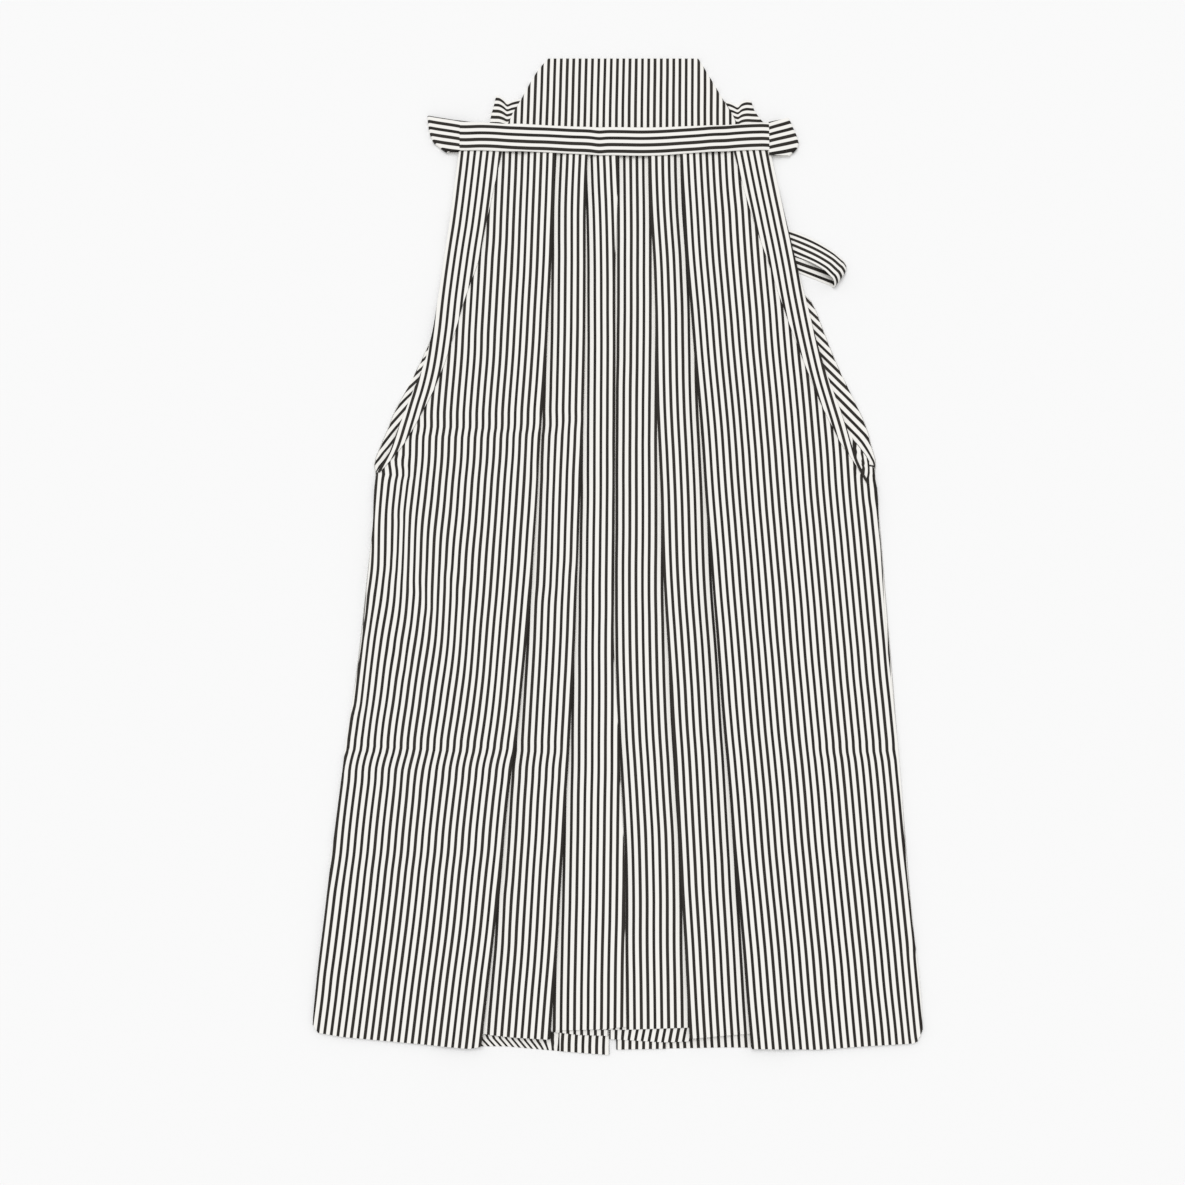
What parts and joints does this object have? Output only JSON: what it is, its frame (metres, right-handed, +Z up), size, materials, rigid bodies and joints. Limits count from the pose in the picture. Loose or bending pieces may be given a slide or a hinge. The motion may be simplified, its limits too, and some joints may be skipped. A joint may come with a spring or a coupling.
{
  "type": "hakama trousers",
  "caption": "Pleated wide-leg hakama trousers in striped cloth, laid flat front up, with a stiff back board, front waistband and folded ties.",
  "frame": {"origin": "centre of the bounding box at the surface that the garment lies on", "axes": "+Z up, out of the front of the garment; +Y towards the waist; +X towards the wearer's left side"},
  "size_m": [0.5858, 1.024, 0.0129],
  "materials": {
    "striped_cloth": "smooth woven cloth, fine dark stripes on cream",
    "back_cloth": "smooth woven cloth, fine dark stripes on cream",
    "board_cloth": "striped cloth over a stiff board",
    "band_cloth": "striped cloth, folded in layers and pressed"
  },
  "bodies": {
    "root": {"front_leg_right": "striped_cloth", "front_leg_left": "striped_cloth", "side_fold_right": "striped_cloth", "side_fold_left": "striped_cloth", "back_leg_right": "back_cloth", "back_leg_left": "back_cloth", "inner_leg_right": "back_cloth", "inner_leg_left": "back_cloth", "back_board": "board_cloth", "front_band": "band_cloth", "front_tie_right": "band_cloth", "front_tie_left": "band_cloth", "back_tie_right": "band_cloth", "back_tie_left": "band_cloth", "side_tie": "band_cloth"}
  },
  "joints": []
}
